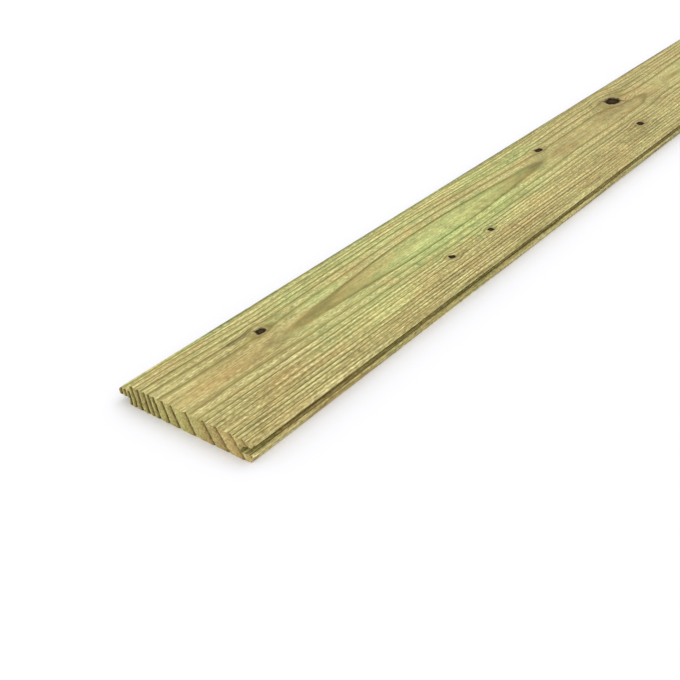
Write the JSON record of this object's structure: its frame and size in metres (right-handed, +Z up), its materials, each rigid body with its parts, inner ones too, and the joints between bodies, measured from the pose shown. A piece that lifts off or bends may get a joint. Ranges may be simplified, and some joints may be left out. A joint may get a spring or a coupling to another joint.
{
  "type": "tongue and groove cladding board",
  "caption": "Planed treated softwood board with a rounded tongue along one edge and a matching groove along the other, for cladding and lining.",
  "frame": {"origin": "on the floor plane under the middle of the board, halfway along its length and halfway between the groove edge and the tip of the tongue", "axes": "+X along the board's length, +Y across its width towards the tongue, +Z up out of the front face; the board lies on its back face"},
  "size_m": [1.8, 0.145, 0.019],
  "materials": {
    "treated_pine": "planed, pressure treated, dry and matt"
  },
  "bodies": {
    "root": {"board": "treated_pine"}
  },
  "joints": []
}
